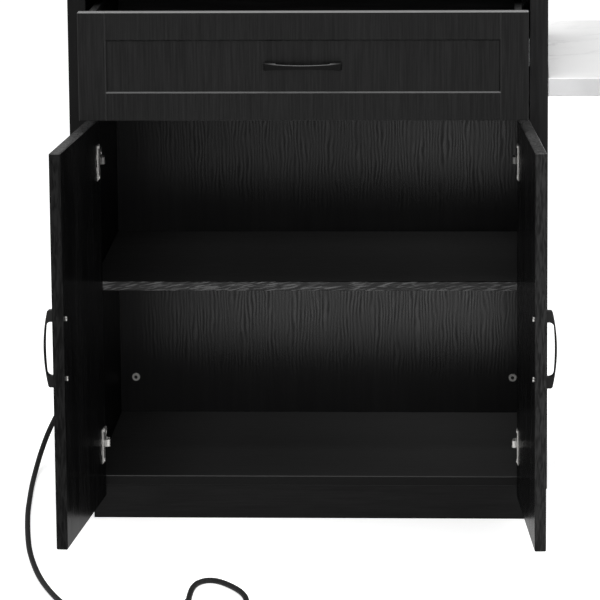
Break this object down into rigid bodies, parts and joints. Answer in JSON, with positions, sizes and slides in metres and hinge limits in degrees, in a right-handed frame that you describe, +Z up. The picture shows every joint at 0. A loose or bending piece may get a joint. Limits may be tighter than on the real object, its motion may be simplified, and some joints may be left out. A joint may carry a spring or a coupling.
{
  "type": "kitchen cart",
  "caption": "Black wood-grain kitchen cart on a plinth, with a framed drawer over a shelved cupboard with hinged doors, marble-look top and side leaf, and a power lead.",
  "frame": {"origin": "centre of the plinth on the floor", "axes": "+Z up, -Y to the front with the doors and the drawer, +X to the side leaf"},
  "size_m": [1.1887, 1.3956, 0.92],
  "materials": {
    "black_woodgrain": "black wood-grain foil, semi-gloss",
    "white_marble": "white marble look with grey veins, polished",
    "black_metal": "black, satin",
    "nickel_steel": "nickel plated",
    "zinc_steel": "zinc plated",
    "black_plastic": "black, fine texture",
    "cord_jacket": "black jacket, satin",
    "brass_blades": "bright"
  },
  "bodies": {
    "cart": {"back_panel": "black_woodgrain", "back_panel_screws": "nickel_steel", "bottom_panel": "black_woodgrain", "cord_coil": "cord_jacket", "cord_relief": "black_plastic", "cord_tie": "black_plastic", "hinge_pins": "nickel_steel", "leaf_bracket_screws": "nickel_steel", "leaf_brackets": "black_metal", "left_lower_hinge_arm": "nickel_steel", "left_side_panel": "black_woodgrain", "left_slide_outer": "zinc_steel", "left_upper_hinge_arm": "nickel_steel", "middle_rail": "black_woodgrain", "plinth_back": "black_woodgrain", "plinth_brace": "black_woodgrain", "plinth_front": "black_woodgrain", "plinth_left": "black_woodgrain", "plinth_right": "black_woodgrain", "plug_blades": "brass_blades", "power_cord": "cord_jacket", "power_plug": "black_plastic", "power_strip": "black_plastic", "rear_rails": "black_woodgrain", "right_lower_hinge_arm": "nickel_steel", "right_side_panel": "black_woodgrain", "right_slide_outer": "zinc_steel", "right_upper_hinge_arm": "nickel_steel", "shelf": "black_woodgrain", "shelf_pins": "nickel_steel", "side_leaf": "white_marble", "strip_sockets": "black_plastic", "top_front_rail": "black_woodgrain", "worktop": "white_marble"},
    "left_door": {"left_door": "black_woodgrain", "left_door_pull": "black_metal", "left_pull_screws": "nickel_steel", "left_upper_hinge_cup": "nickel_steel", "left_lower_hinge_cup": "nickel_steel"},
    "right_door": {"right_door": "black_woodgrain", "right_door_pull": "black_metal", "right_pull_screws": "nickel_steel", "right_upper_hinge_cup": "nickel_steel", "right_lower_hinge_cup": "nickel_steel"},
    "left_hinge_links": {"left_upper_hinge_link": "nickel_steel", "left_lower_hinge_link": "nickel_steel"},
    "right_hinge_links": {"right_upper_hinge_link": "nickel_steel", "right_lower_hinge_link": "nickel_steel"},
    "drawer": {"drawer_front": "black_woodgrain", "drawer_left_side": "black_woodgrain", "drawer_right_side": "black_woodgrain", "drawer_back": "black_woodgrain", "drawer_bottom": "black_woodgrain", "drawer_pull": "black_metal", "drawer_pull_screws": "nickel_steel", "left_slide_inner": "zinc_steel", "right_slide_inner": "zinc_steel"},
    "slide_carriers": {"left_slide_middle": "zinc_steel", "right_slide_middle": "zinc_steel"}
  },
  "joints": [
    {"name": "left_door_hinge", "type": "hinge", "parent": "cart", "child": "left_door", "pos_m": [-0.358, -0.2575, 0.362], "axis": [0, 0, -1], "range_deg": [-94.5, 10.5]},
    {"name": "left_link_hinge", "type": "hinge", "parent": "cart", "child": "left_hinge_links", "pos_m": [-0.354, -0.2345, 0.362], "axis": [0, 0, -1], "range_deg": [-55.66, 6.18]},
    {"name": "right_door_hinge", "type": "hinge", "parent": "cart", "child": "right_door", "pos_m": [0.358, -0.2575, 0.362], "axis": [0, 0, 1], "range_deg": [-94.5, 10.5]},
    {"name": "right_link_hinge", "type": "hinge", "parent": "cart", "child": "right_hinge_links", "pos_m": [0.354, -0.2345, 0.362], "axis": [0, 0, 1], "range_deg": [-55.66, 6.18]},
    {"name": "drawer_slide", "type": "slide", "parent": "cart", "child": "drawer", "axis": [0, -1, 0], "range_m": [-0.16, 0.24]},
    {"name": "carrier_slide", "type": "slide", "parent": "cart", "child": "slide_carriers", "axis": [0, -1, 0], "range_m": [-0.08, 0.12]}
  ],
  "couplings": [
    {"joint": "left_link_hinge", "follows": "left_door_hinge", "ratio": 0.589},
    {"joint": "right_link_hinge", "follows": "right_door_hinge", "ratio": 0.589},
    {"joint": "carrier_slide", "follows": "drawer_slide", "ratio": 0.5}
  ]
}
